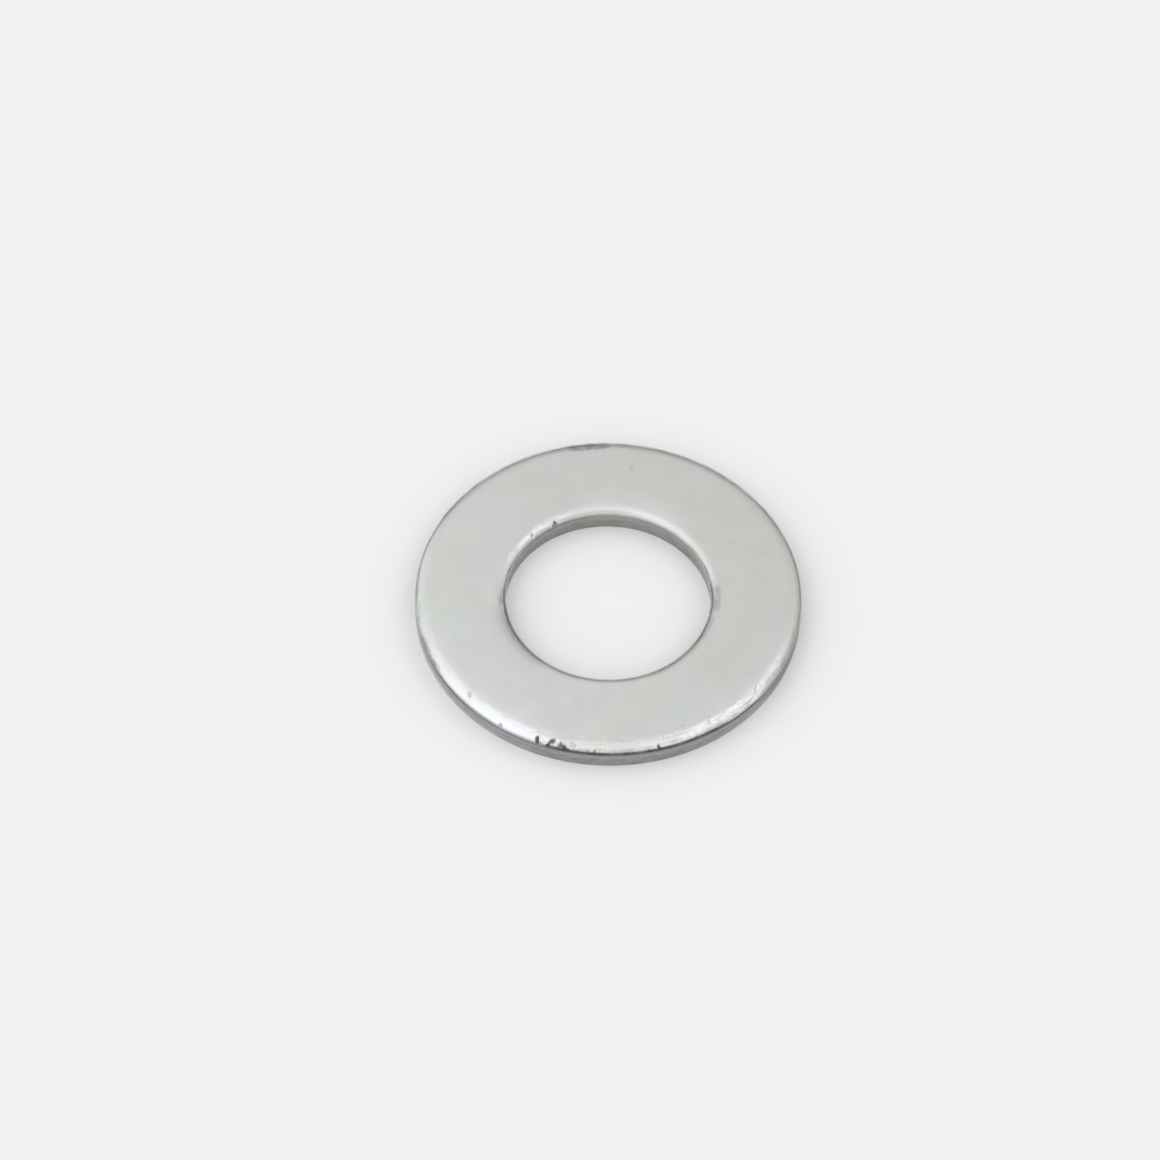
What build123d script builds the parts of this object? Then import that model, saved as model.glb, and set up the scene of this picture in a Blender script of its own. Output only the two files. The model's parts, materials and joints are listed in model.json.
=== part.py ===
from build123d import *

import os
from math import asin, degrees

# Flat metal sealing washer, blanked from sheet in one stroke, in millimetres.
#
# One ring of soft metal that is squeezed between a plug's head and its boss.  The stroke leaves the same
# section on the rim and in the bore, from the top face down:
#
#     die roll        the skin of the sheet is drawn down in a wide curve, which ends in a tighter nose
#     burnished land  the straight, polished part of the cut, which has the nominal diameter
#     fracture        the metal tears away from the tool, so this part leans back from the nominal size
#     lower edge      the burr, tumbled down to a small bevel
#
# The origin is on the underside, at the centre of the bore.  +Z points up, along the bore.

# The washer as it is ordered
OUTER_DIAMETER = 23.0
BORE_DIAMETER = 12.2
THICKNESS = 1.6

# The cut edges: a roll reaches across the face, goes down from it and ends in its nose
RIM_ROLL_REACH = 0.80
RIM_ROLL_DEPTH = 0.40
RIM_NOSE_RADIUS = 0.18
BORE_ROLL_REACH = 0.55
BORE_ROLL_DEPTH = 0.33
BORE_NOSE_RADIUS = 0.10
LAND_HEIGHT = 0.42
FRACTURE_LEAN = 0.03
LOWER_EDGE_BEVEL = 0.06

# Knocks on the rolled edges: azimuth in degrees from +X towards +Y, width of the mouth, depth
RIM_KNOCKS = [
    (221.5, 0.34, 0.05),
    (237.0, 0.24, 0.04),
    (249.2, 0.36, 0.08),
    (253.4, 0.34, 0.06),
    (257.0, 0.38, 0.08),
    (267.3, 0.26, 0.05),
    (286.0, 0.28, 0.07),
    (303.4, 0.24, 0.04),
    (322.8, 0.32, 0.05),
]
BORE_KNOCKS = [
    (122.0, 0.30, 0.07),
    (137.0, 0.26, 0.05),
]

# Which way a cut edge faces, along the radius
OUTWARDS = 1
INWARDS = -1


def die_roll(nominal_radius, reach, depth, nose_radius, facing):
    """A wide arc that leaves the top face smoothly, then a tight one that ends upright on the land."""
    across = reach - nose_radius
    down = depth - nose_radius
    between_centres = (across**2 + down**2) / (2 * down)
    wide_turn = degrees(asin(across / between_centres))
    start = (nominal_radius - facing * reach, THICKNESS)
    wide = JernArc(start, (facing, 0), nose_radius + between_centres, -facing * wide_turn)
    JernArc(wide @ 1, wide % 1, nose_radius, -facing * (90 - wide_turn))


def cut_edge(nominal_radius, reach, depth, nose_radius, facing):
    """One cut edge of the section, from the top face down to the underside."""
    land_top = (nominal_radius, THICKNESS - depth)
    land_foot = (nominal_radius, THICKNESS - depth - LAND_HEIGHT)
    lower_corner = (nominal_radius - facing * FRACTURE_LEAN, 0)
    die_roll(nominal_radius, reach, depth, nose_radius, facing)
    Polyline(land_top, land_foot, lower_corner)


def ring_section():
    """The section of the ring on one side of the bore, with its lower edges bevelled."""
    rim_radius = OUTER_DIAMETER / 2
    bore_radius = BORE_DIAMETER / 2
    with BuildSketch(Plane.XZ) as section:
        with BuildLine():
            cut_edge(rim_radius, RIM_ROLL_REACH, RIM_ROLL_DEPTH, RIM_NOSE_RADIUS, OUTWARDS)
            cut_edge(bore_radius, BORE_ROLL_REACH, BORE_ROLL_DEPTH, BORE_NOSE_RADIUS, INWARDS)
            Line((bore_radius + BORE_ROLL_REACH, THICKNESS), (rim_radius - RIM_ROLL_REACH, THICKNESS))
            Line((bore_radius + FRACTURE_LEAN, 0), (rim_radius - FRACTURE_LEAN, 0))
        make_face()
        lower_corners = section.vertices().group_by(Axis.Y)[0]
        chamfer(lower_corners, LOWER_EDGE_BEVEL)
    return section.sketch


def knocks(places, nominal_radius, roll_depth, nose_radius, facing):
    """One ball for each knock, biting into the nose of a roll at 45 degrees to the face."""
    nose_centre = nominal_radius - facing * nose_radius
    nose_height = THICKNESS - roll_depth
    balls = []
    for azimuth, width, depth in places:
        ball_radius = (width**2 / 4 + depth**2) / (2 * depth)
        stand_off = (nose_radius - depth + ball_radius) * 0.5**0.5
        centre = Pos(nose_centre + facing * stand_off, 0, nose_height + stand_off)
        balls.append(Rot(0, 0, azimuth) * centre * Sphere(ball_radius))
    return balls


def washer():
    """The ring, turned about the bore's axis, less the knocks that its edges have taken."""
    ring = revolve(ring_section(), Axis.Z)
    ring -= knocks(RIM_KNOCKS, OUTER_DIAMETER / 2, RIM_ROLL_DEPTH, RIM_NOSE_RADIUS, OUTWARDS)
    ring -= knocks(BORE_KNOCKS, BORE_DIAMETER / 2, BORE_ROLL_DEPTH, BORE_NOSE_RADIUS, INWARDS)
    return ring


os.makedirs("parts", exist_ok=True)
export_step(washer(), "parts/sealing_ring.step")
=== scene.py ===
import json
from math import cos, pi, radians, sin

import bpy
from mathutils import Matrix, Vector


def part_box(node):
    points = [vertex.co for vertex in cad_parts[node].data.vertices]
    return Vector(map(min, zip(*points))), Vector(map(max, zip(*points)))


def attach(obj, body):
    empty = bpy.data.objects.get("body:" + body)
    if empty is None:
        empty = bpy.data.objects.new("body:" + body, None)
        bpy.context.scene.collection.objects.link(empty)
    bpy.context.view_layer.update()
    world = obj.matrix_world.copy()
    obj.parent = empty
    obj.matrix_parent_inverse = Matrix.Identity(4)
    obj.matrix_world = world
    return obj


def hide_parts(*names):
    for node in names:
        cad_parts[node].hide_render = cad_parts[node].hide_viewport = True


bl_info = {
    "name": "Sealing Washer",
    "version": (1, 0, 0),
    "blender": (4, 5, 0),
    "location": "3D View > Sidebar > Washer",
    "description": "A flat metal sealing washer, blanked from sheet, on a plain pale floor",
    "category": "Object",
}

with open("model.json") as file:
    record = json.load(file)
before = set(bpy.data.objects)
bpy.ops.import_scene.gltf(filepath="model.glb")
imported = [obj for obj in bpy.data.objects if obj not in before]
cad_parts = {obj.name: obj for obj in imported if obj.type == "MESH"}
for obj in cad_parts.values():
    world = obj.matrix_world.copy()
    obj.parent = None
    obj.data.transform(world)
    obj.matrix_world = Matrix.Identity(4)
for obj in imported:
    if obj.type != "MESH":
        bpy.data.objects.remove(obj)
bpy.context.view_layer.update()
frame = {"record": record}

# The ring as it is packed, in metres
MM = 0.001
RING_NODE = "sealing_ring"
ring_low, ring_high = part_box(RING_NODE)
bolt_bore = next(mount for mount in frame["record"]["mounts"] if mount["name"] == "bolt_bore")
BORE_RADIUS = bolt_bore["dims"]["r_mm"] * MM

# Points on each rounding of the section, and the longest piece of each straight
WIDE_ARC_POINTS = 8
NOSE_ARC_POINTS = 6
LOWER_ARC_POINTS = 3
FACE_STEP = 1.00 * MM
RIM_FACE_STEP = 0.11 * MM
BORE_FACE_STEP = 0.16 * MM
WALL_STEP = 0.085 * MM
UNDERSIDE_STEP = 1.30 * MM
WELD_DISTANCE = 0.002 * MM

# The steps round the ring lie closer together on the side with the most wear
CLOSE_STEPS_AZIMUTH = 268
CROWDING = 0.35

# How far below a roll's nose a knock can still be felt
KNOCK_DEPTH_REACH = 0.35 * MM

# How far from its middle the lap under a roll's lip fades out
LAP_FADE = (0.06 * MM, 0.17 * MM)

# Widths of the parts of the face beside the rim, where it starts to fall, and beside the bore
CROWN_REACH = 1.60 * MM
BORE_FACE_REACH = 0.95 * MM

# Which way a cut edge faces, along the radius
OUTWARDS = 1.0
INWARDS = -1.0
DIAGONAL = 0.5**0.5

# How softly one part of a cut edge passes into the next
EDGE_BLUR = 0.05 * MM

# Noise along the cut edges: grain along the edge and across it in millimetres, detail, number of the draw
TEAR_WANDER = (1.3, 9.0, 3.0, 0.0)
ROLL_WAVES = (1.3, 0.26, 2.0, 1.0)
ROLL_CHIPS = (0.40, 0.34, 1.0, 2.0)
ROLL_SCALLOPS = (0.55, 0.70, 2.0, 3.0)
LAP_BREAKS = (0.8, 9.0, 3.0, 4.0)
BLUNT_WOBBLE = (1.1, 9.0, 2.0, 5.0)
DARK_PLACE_FRAY = (0.30, 0.30, 2.0, 6.0)
DARK_PLACE_BLOTCHES = (0.55, 0.45, 3.0, 7.0)

# Noise in space: scale for each metre, and detail
TEAR_NOISE = (7000.0, 3.0)
KNOCK_NOISE = (5000.0, 1.5)

# Knocks across the rolled edges: azimuth in degrees; width, length, depth and height above the nose
# in millimetres; slant; dirt
RIM_KNOCKS = [
    (222.8, 0.34, 0.60, 0.050, 0.52, 0.85, 0.50),
    (237.2, 0.34, 0.46, 0.035, 0.00, 0.30, 0.50),
    (249.3, 0.30, 0.92, 0.100, 0.06, 0.10, 1.00),
    (253.9, 0.34, 0.80, 0.080, 0.22, -0.45, 0.95),
    (252.8, 0.36, 0.40, 0.060, -0.08, -0.40, 0.95),
    (256.7, 0.44, 0.60, 0.070, 0.10, 0.10, 0.90),
    (257.9, 0.32, 0.70, 0.080, 0.02, 0.10, 1.00),
    (258.9, 0.42, 0.40, 0.060, -0.08, 0.00, 1.00),
    (260.4, 0.50, 0.40, 0.035, 0.32, 0.20, 0.32),
    (264.9, 0.30, 0.36, 0.030, 0.00, 0.40, 0.30),
    (267.0, 0.32, 0.54, 0.055, -0.02, 0.10, 0.85),
    (270.1, 0.26, 0.28, 0.020, 0.14, 0.00, 0.22),
    (286.2, 0.26, 0.54, 0.070, 0.02, -0.15, 1.00),
    (303.4, 0.24, 0.44, 0.030, 0.46, -0.60, 0.25),
    (322.6, 0.22, 0.80, 0.040, 0.46, -1.40, 0.40),
]
BORE_KNOCKS = [
    (122.0, 0.34, 0.50, 0.085, 0.06, 0.15, 0.70),
    (137.0, 0.30, 0.32, 0.050, 0.20, -0.20, 0.40),
]
KNOCK_SIZES = ("Azimuth", "Width", "Length", "Depth", "Lift", "Slant", "Dirt")

# A knock widens downwards; distances from its middle at which its raised lip and its dirt come and go
KNOCK_WIDENING = (0.55, 1.45)
KNOCK_LIP_RISE = (0.75, 1.10)
KNOCK_LIP_FALL = (1.10, 1.60)
KNOCK_LIP_HEIGHT = 0.3
KNOCK_DIRT_FADE = (0.25, 1.15)

# The lap under the rim's lip, a narrow groove with painted shade in it, where it shows: azimuth, spread and
# fade in degrees; height above the top of the land in millimetres; strength
RIM_LAPS = [
    (214, 9, 7, -0.12, 0.75),
    (275, 23, 5, -0.01, 1.00),
    (297, 11, 4, -0.01, 1.00),
    (312, 8, 8, -0.12, 0.85),
    (324, 5, 6, -0.19, 0.45),
]
LAP_BREAK_LEVELS = (0.30, 0.55, 0.80, 1.0)

# Elsewhere the lap and its painted shade are faint, and in one part of the bore both are left out
FAINT_LAP_HEIGHT = -0.11 * MM
FAINT_LAP = 0.35
LAP_LEFT_OUT = (62, 38, 15)

# Darker places on the rolled rim, partly grime and partly painted shade: azimuth, spread and fade in
# degrees;
# reach from the edge in millimetres; strength
RIM_DARK_PLACES = [
    (97, 2, 6, 0.74, 0.52),
    (125, 0, 5, 0.66, 0.46),
    (184, 9, 6, 0.25, 0.18),
    (203, 4, 7, 0.14, 0.55),
    (257, 3, 3, 0.20, 0.30),
    (271, 13, 5, 0.17, 0.22),
    (310, 7, 6, 0.27, 0.26),
    (351, 10, 7, 0.20, 0.42),
]

# Darker places on the bore's roll, partly grime and partly painted shade, in the same terms
BORE_DARK_PLACES = [
    (359, 9, 4, 0.56, 0.36),
    (190, 9, 9, 0.44, 0.40),
    (213, 17, 10, 0.50, 0.46),
    (345, 15, 8, 0.42, 0.25),
]

# How much further a darker place reaches in its middle than at its ends, and how its edge is frayed
DARK_PLACE_TAPER = 0.45
DARK_PLACE_FRAY_REACH = 0.50
DARK_PLACE_BLUR = 0.12
DARK_PLACE_BLOTCH_LEVELS = (0.34, 0.60, 0.35, 1.0)

# How far below the top of the land the darker places stop
DARK_PLACE_DROP = 0.25 * MM

# Painted shade as a film on the near side of the bore: azimuth, spread and fade; where on the roll it
# starts
BORE_NEAR_SHADE = (264, 81, 12)
BORE_NEAR_SHADE_START = (0.30, 0.55)
BORE_NEAR_SHADE_STRENGTH = 0.75

# Painted highlights near an edge, and with a strength below 0 painted shade: in the same terms
RIM_PAINTED_TONES = [
    (168, 12, 8, 0.90, 0.55),
    (212, 24, 12, 2.60, 0.32),
    (236, 10, 8, 2.60, 0.50),
    (322, 18, 10, 2.00, 0.22),
    (347, 20, 8, 0.42, -0.34),
    (9, 15, 8, 0.26, -0.30),
]
BORE_PAINTED_TONES = [
    (16, 12, 8, 0.50, 0.45),
    (75, 22, 18, 2.20, 0.35),
    (188, 12, 9, 1.00, -0.10),
    (213, 20, 10, 1.30, -0.40),
    (243, 12, 8, 0.85, -0.22),
    (308, 26, 12, 0.75, -0.20),
]

# A pale tone that reaches further than this, in millimetres, is weaker on the roll
WIDE_TONE = 1.0
PALE_ROLL = 0.15
PALE_ROLL_SPAN = (0.10, 0.55)

# A dark tone is weaker at the foot of the wall
RIM_FOOT_TONE = 0.80
BORE_FOOT_TONE = 0.25
FOOT_TONE_HEIGHTS = (0.5 * MM, 1.0 * MM)

# Where a roll is smoother and gets a painted highlight: azimuth, spread and fade in degrees; strength;
# share of it in flecks
RIM_SHINE = [
    (226, 22, 6, 0.46, 0.00),
    (293, 10, 6, 0.48, 0.90),
    (309, 5, 5, 0.46, 0.30),
    (325, 12, 7, 0.38, 0.65),
]
BORE_SHINE = [
    (136, 20, 8, 0.50, 0.85),
]
RIM_SHINE_REACH = 0.62
BORE_SHINE_REACH = 0.48

# The ragged inner edge of that shine, and its flecks: grain in millimetres, detail, number of the draw
SHINE_EDGE = ((0.75, 0.75, 1.4), 4.0, 1.0)
SHINE_FLECKS = ((0.80, 0.80, 0.28), 2.0, 4.0)
SHINE_RAGGEDNESS = 0.65
SHINE_FADE = (-0.05, 0.03)
FLECK_LEVELS = (0.38, 0.60)

# Where the foot of a wall is painted paler, as light thrown up from the floor: on the rim away from the
# front and most on the left, and in the bore on the right.  Azimuth, spread and fade in degrees.
FRONT_WITHOUT_BOUNCE = (278, 30, 18)
BOUNCE_MOST = (200, 13, 12)
BOUNCE_MORE = 0.55
BOUNCE_HEIGHTS = (0.85 * MM, 0.1 * MM)
BORE_BOUNCE = (8, 20, 12)
BORE_BOUNCE_STRENGTH = 0.40

# Where the die was worn, the roll is chipped and wavy: azimuth, spread and fade in degrees
WORN_DIE = (291, 44, 8)
WAVES_ALL_ROUND = 0.45
CHIPS_ALL_ROUND = 0.06
CHIP_LEVELS = (0.50, 0.80)
SCALLOPS_ALL_ROUND = 0.30

# Shares of the roll's reach over which its waves end, and over which the scallops of its inner edge begin
ROLL_END = (0.85, 1.35)
SCALLOPS_START = (0.35, 0.80)

# Where the die was blunt, more of the face is drawn down, between these distances beyond the edge
BLUNT_DIE = (231, 22, 12)
BLUNT_SPAN = (-0.95 * MM, -0.40 * MM)
BLUNT_WOBBLE_REACH = 0.6 * MM

# Marks on the face and across the rim's roll: radius in millimetres, azimuth in degrees, length, width,
# turn from the radius, dirt
FACE_MARKS = [
    (8.29, 29.2, 0.75, 0.60, 0.0, 0.08),
    (7.21, 37.3, 0.50, 0.32, 60.0, 0.07),
    (9.47, 82.6, 1.10, 0.42, -17.0, 0.16),
    (10.96, 288.1, 0.46, 0.15, 140.0, 0.26),
    (11.00, 289.6, 0.52, 0.14, 138.0, 0.26),
    (10.60, 295.3, 0.62, 0.30, 90.0, 0.14),
    (11.00, 303.4, 0.56, 0.17, 137.0, 0.30),
    (11.08, 322.4, 1.20, 0.17, 118.0, 0.42),
]

# Uneven patches in the metal: size in millimetres, detail, number of the draw, and a stretch for some
SATIN = (0.07, 3.0, 2.0)
HAZE = (4.5, 2.0, 3.0)
STREAKS = (0.07, 3.0, 5.0, (1.0, 1.0, 0.07))
TEAR_GRAIN = (0.16, 3.0, 7.0, (0.30, 0.30, 1.0))
COOL_TO_WARM = (2.6, 1.0, 8.0)
MOTTLE = (1.3, 2.0, 11.0)

# Tints of the sheet: size in millimetres, detail, number of the draw, strength
ROSE_PATCHES = (2.6, 4.0, 21.0, 0.046)
STEEL_PATCHES = (2.8, 4.0, 22.0, 0.085)
LIGHT_PATCHES = (1.2, 5.0, 23.0, 0.048)
GREEN_SHARE = 0.4
TINT_ON_WALLS = 0.3

# Lines that the rolling of the sheet left, and hairlines by their direction in degrees and draw
ROLLING_LINES = {"Angle": radians(28), "Length": 1.4, "Width": 0.05}
HAIRLINES = ((35, 1.0), (100, 4.0), (158, 9.0))
HAIRLINE_NOISE = (0.9, 1.0)
HAIRLINE_LEVELS = (0.52, 0.62)

# Painted shade darkens the metal towards this side, over this span in millimetres, and unevenly
SHADED_SIDE = (0.75, 0.66, 0.0)
SHADING_SPREAD = 6.0
SHADING_SPAN = (-11.0, 11.0)
WALL_SHADING_SPAN = (-9.0, 3.0)

# How strongly each thing changes the colour or the roughness
TINT_LEVELS = (-0.4, 0.4)
MOTTLE_LEVELS = (-0.5, 0.6, 0.0, 0.30)
STREAK_LEVELS = (-0.5, 0.5, 0.85, 1.0)
TEAR_LEVELS = (-0.4, 0.4, 1.0, 0.70)
DIMMED_SHARE = 0.40
BOUNCE_SHARE = 0.50
KNOCK_DIRT = 0.95
SCRATCH_DIRT = 0.03
GRIME_AND_SHADE_SHARE = 0.97
ROUGHNESS_CHANGE = 0.05

# Shares of a roll's depth over which the finish of the face gives way to that of the roll
FACE_SHARE_OF_ROLL = 0.5
SMOOTH_SHARE_OF_ROLL = 0.6

# Floor: half its side in metres, roughness and reflection
FLOOR_HALF = 3.0
FLOOR_ROUGHNESS = 0.75
FLOOR_REFLECTION = 0.2

# Surroundings: height of the middle light; azimuth, elevation and narrowness of the glow on the left and of
# the dark side at the back
MIDDLE_HEIGHT = 0.34
GLOW = (195, 30, 2.0)
SHADE = (90, 8, 9.0)

# Softboxes: azimuth and elevation in degrees; distance, width and height in metres
SOFTBOXES = {
    "left": (205, 52, 0.70, 0.60, 0.50),
    "right": (0, 55, 0.80, 0.60, 0.45),
    "front": (270, 75, 0.80, 0.70, 0.60),
}

# What the camera can see, in metres from it
CAMERA_RANGE = (0.01, 20.0)

# Sizes that the section is drawn from
EDGE_SIZES = ("Roll Reach", "Roll Depth", "Nose Radius")
SECTION_SIZES = [
    *("Outer Radius", "Bore Radius", "Thickness", "Land Height", "Fracture Lean", "Lower Edge Radius"),
    *(f"{side} {size}" for side in ("Rim", "Bore") for size in EDGE_SIZES),
]


# --------------------------------------
# Building node trees
# --------------------------------------


SHAPE = "GeometryNodeTree"
SHADER = "ShaderNodeTree"
VECTOR = "NodeSocketVector"
GEOMETRY = "NodeSocketGeometry"
SOCKET_TYPES = {float: "NodeSocketFloat", int: "NodeSocketInt"}

# Places of the sockets that a mix node uses for colours
FACTOR_SOCKET = 0
FIRST_COLOUR_SOCKET = 6
SECOND_COLOUR_SOCKET = 7
MIXED_COLOUR_SOCKET = 2


class Value:
    """One output of a node.  Arithmetic with it adds a node to the same tree."""

    def __init__(self, net, socket):
        self.net = net
        self.socket = socket

    def __add__(self, other):
        return self.net.math("ADD", self, other)

    def __radd__(self, other):
        return self.net.math("ADD", other, self)

    def __sub__(self, other):
        return self.net.math("SUBTRACT", self, other)

    def __rsub__(self, other):
        return self.net.math("SUBTRACT", other, self)

    def __mul__(self, other):
        return self.net.math("MULTIPLY", self, other)

    def __truediv__(self, other):
        return self.net.math("DIVIDE", self, other)

    def __rtruediv__(self, other):
        return self.net.math("DIVIDE", other, self)

    def __pow__(self, other):
        return self.net.math("POWER", self, other)

    def __neg__(self):
        return self * -1.0

    def __abs__(self):
        return self.net.math("ABSOLUTE", self)


class Net:
    """Adds nodes to one tree.  An input takes a plain value or the output of another node."""

    def __init__(self, tree):
        self.tree = tree

    def feed(self, socket, value):
        if isinstance(value, Value):
            self.tree.links.new(value.socket, socket)
        else:
            socket.default_value = value

    def node(self, kind, inputs=None, **settings):
        node = self.tree.nodes.new(kind)
        for name, value in settings.items():
            setattr(node, name, value)
        for key, value in (inputs or {}).items():
            self.feed(node.inputs[key], value)
        return node

    def add(self, kind, inputs=None, output=0, **settings):
        """Adds a node and returns one of its outputs."""
        return Value(self, self.node(kind, inputs, **settings).outputs[output])

    def outputs(self, node):
        return {socket.name: Value(self, socket) for socket in node.outputs}

    def place(self, tree, inputs):
        """Places a node group and returns its outputs."""
        kind = "GeometryNodeGroup" if tree.bl_idname == "GeometryNodeTree" else "ShaderNodeGroup"
        return self.outputs(self.node(kind, inputs, node_tree=tree))

    def math(self, operation, *values):
        return self.add("ShaderNodeMath", dict(enumerate(values)), operation=operation)

    def vector_math(self, operation, *values, output="Vector"):
        return self.add("ShaderNodeVectorMath", dict(enumerate(values)), output, operation=operation)

    def store(self, geometry, name, value, **settings):
        """Keeps a value at each point of a geometry."""
        inputs = {"Geometry": geometry, "Name": name, "Value": value}
        return self.add("GeometryNodeStoreNamedAttribute", inputs, **settings)

    def most(self, a, b):
        return self.math("MAXIMUM", a, b)

    def least(self, a, b):
        return self.math("MINIMUM", a, b)

    def vector(self, x, y, z=0.0):
        return self.add("ShaderNodeCombineXYZ", {"X": x, "Y": y, "Z": z})

    def split(self, vector):
        return self.outputs(self.node("ShaderNodeSeparateXYZ", {0: vector})).values()

    def length(self, vector):
        return self.vector_math("LENGTH", vector, output="Value")

    def dot(self, a, b):
        return self.vector_math("DOT_PRODUCT", a, b, output="Value")

    def scale(self, vector, factor):
        return self.add("ShaderNodeVectorMath", {"Vector": vector, "Scale": factor}, operation="SCALE")

    def turn(self, vector, angle):
        """Turns a vector about Z by an angle in radians."""
        inputs = {"Vector": vector, "Angle": angle}
        return self.add("ShaderNodeVectorRotate", inputs, rotation_type="Z_AXIS")

    def ramp(self, value, start, end, low=0.0, high=1.0):
        """Low before start, high after end, and smooth between them."""
        inputs = {"Value": value, "From Min": start, "From Max": end, "To Min": low, "To Max": high}
        return self.add("ShaderNodeMapRange", inputs, interpolation_type="SMOOTHSTEP")

    def noise(self, vector, scale, detail=2.0, seed=0.0):
        inputs = {"Vector": vector, "W": seed, "Scale": scale, "Detail": detail}
        return self.add("ShaderNodeTexNoise", inputs, noise_dimensions="4D")

    def mix(self, factor, a, b):
        return self.add("ShaderNodeMix", {"Factor": factor, "A": a, "B": b})

    def mix_colour(self, factor, a, b, blend="MIX"):
        inputs = {FACTOR_SOCKET: factor, FIRST_COLOUR_SOCKET: a, SECOND_COLOUR_SOCKET: b}
        return self.add("ShaderNodeMix", inputs, MIXED_COLOUR_SOCKET, data_type="RGBA", blend_type=blend)


def total(values):
    first, *others = values
    return sum(others, first)


def new_group(name, kind, inputs, outputs):
    """A node group.  A socket is a number to start from or a socket type; mere names are numbers from 0."""
    tree = bpy.data.node_groups.new(name, kind)
    for sockets, in_out in ((inputs, "INPUT"), (outputs, "OUTPUT")):
        if not isinstance(sockets, dict):
            sockets = dict.fromkeys(sockets, 0.0)
        for socket_name, start in sockets.items():
            socket_type = SOCKET_TYPES.get(type(start), start)
            socket = tree.interface.new_socket(socket_name, in_out=in_out, socket_type=socket_type)
            if socket_type != start:
                socket.default_value = start
    net = Net(tree)
    return net, net.outputs(net.node("NodeGroupInput")), net.node("NodeGroupOutput").inputs


# --------------------------------------
# Shape of the ring
# --------------------------------------


def die_roll_group():
    """Corners of one rolled edge.  Rounded with their radii, they are a wide arc that runs into a nose."""
    net, given, result = new_group(
        "Die Roll Corners",
        SHAPE,
        ("Edge Radius", "Facing", "Reach", "Depth", "Nose Radius", "Thickness"),
        {"Face Corner": VECTOR, "Land Corner": VECTOR, "Wide Radius": 0.0},
    )
    nose, reach, depth = given["Nose Radius"], given["Reach"], given["Depth"]
    across = reach - nose
    down = depth - nose
    between_centres = (across**2.0 + down**2.0) / (down * 2.0)
    half_turn = net.math("ARCSINE", across / between_centres) * 0.5
    wide_radius = between_centres + nose

    tangent_length = wide_radius * net.math("TANGENT", half_turn)
    face_radius = given["Edge Radius"] - given["Facing"] * (reach - tangent_length)
    above_land = nose * net.math("TANGENT", pi / 4 - half_turn)
    land_top = given["Thickness"] - depth

    net.feed(result["Face Corner"], net.vector(face_radius, given["Thickness"]))
    net.feed(result["Land Corner"], net.vector(given["Edge Radius"], land_top + above_land))
    net.feed(result["Wide Radius"], wide_radius)
    return net.tree


def section_group():
    """The closed section on one side of the bore: x along the radius, y up from the underside."""
    net, given, result = new_group("Ring Section", SHAPE, SECTION_SIZES, {"Curve": GEOMETRY})
    die_roll = die_roll_group()
    thickness = given["Thickness"]

    def cut_edge(side, edge_radius, facing):
        """Corners from the top face down: position, rounding, points on the rounding."""
        reach, depth, nose = (given[f"{side} {size}"] for size in EDGE_SIZES)
        edge = {"Edge Radius": edge_radius, "Facing": facing, "Thickness": thickness}
        roll = net.place(die_roll, {**edge, "Reach": reach, "Depth": depth, "Nose Radius": nose})
        foot = thickness - depth - given["Land Height"]
        lower_radius = edge_radius - given["Fracture Lean"] * facing
        return [
            (roll["Face Corner"], roll["Wide Radius"], WIDE_ARC_POINTS),
            (roll["Land Corner"], nose, NOSE_ARC_POINTS),
            (net.vector(edge_radius, foot), 0.0, 1),
            (net.vector(lower_radius, 0.0), given["Lower Edge Radius"], LOWER_ARC_POINTS),
        ]

    rim = cut_edge("Rim", given["Outer Radius"], OUTWARDS)
    bore = cut_edge("Bore", given["Bore Radius"], INWARDS)
    crown_start = net.vector(given["Outer Radius"] - CROWN_REACH, thickness)
    bore_face = net.vector(given["Bore Radius"] + BORE_FACE_REACH, thickness)
    corners = [(crown_start, 0.0, 1), *rim, *reversed(bore), (bore_face, 0.0, 1)]
    positions, roundings, counts = zip(*corners)
    walls = [WALL_STEP] * 3
    steps = [RIM_FACE_STEP, *walls, UNDERSIDE_STEP, *walls, BORE_FACE_STEP, FACE_STEP]
    index = net.add("GeometryNodeInputIndex")

    def by_corner(kind, values):
        """The value of each corner, chosen by its place in the outline."""
        node = net.node("GeometryNodeIndexSwitch", {"Index": index}, data_type=kind)
        while len(node.index_switch_items) < len(values):
            node.index_switch_items.new()
        for place, value in enumerate(values):
            net.feed(node.inputs[str(place)], value)
        return Value(net, node.outputs[0])

    line = net.add("GeometryNodeMeshLine", {"Count": len(positions)})
    placed = {"Geometry": line, "Position": by_corner("VECTOR", positions)}
    outline = net.add("GeometryNodeMeshToCurve", {"Mesh": net.add("GeometryNodeSetPosition", placed)})
    outline = net.add("GeometryNodeSetSplineCyclic", {"Geometry": outline, "Cyclic": True})
    outline = net.store(outline, "step", by_corner("FLOAT", steps))
    rounding = {"Count": by_corner("INT", counts), "Radius": by_corner("FLOAT", roundings)}
    rounded = net.add("GeometryNodeFilletCurve", {"Curve": outline, **rounding}, mode="POLY")

    # each straight is cut into equal pieces, none longer than its step
    counted = {"Geometry": rounded}
    count = net.add("GeometryNodeAttributeDomainSize", counted, "Point Count", component="CURVE")
    here = net.add("GeometryNodeInputPosition")
    following = {"Value": here, "Index": net.math("MODULO", index + 1.0, count)}
    there = net.add("GeometryNodeFieldAtIndex", following, data_type="FLOAT_VECTOR")
    span = net.length(net.vector_math("SUBTRACT", there, here))
    step = net.add("GeometryNodeInputNamedAttribute", {"Name": "step"}, "Attribute")
    cuts = net.math("FLOOR", span / step)
    divided = net.add("GeometryNodeSubdivideCurve", {"Curve": rounded, "Cuts": cuts})
    cleared = net.add("GeometryNodeRemoveAttribute", {"Geometry": divided, "Name": "step"})
    net.feed(result["Curve"], cleared)
    return net.tree


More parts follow.
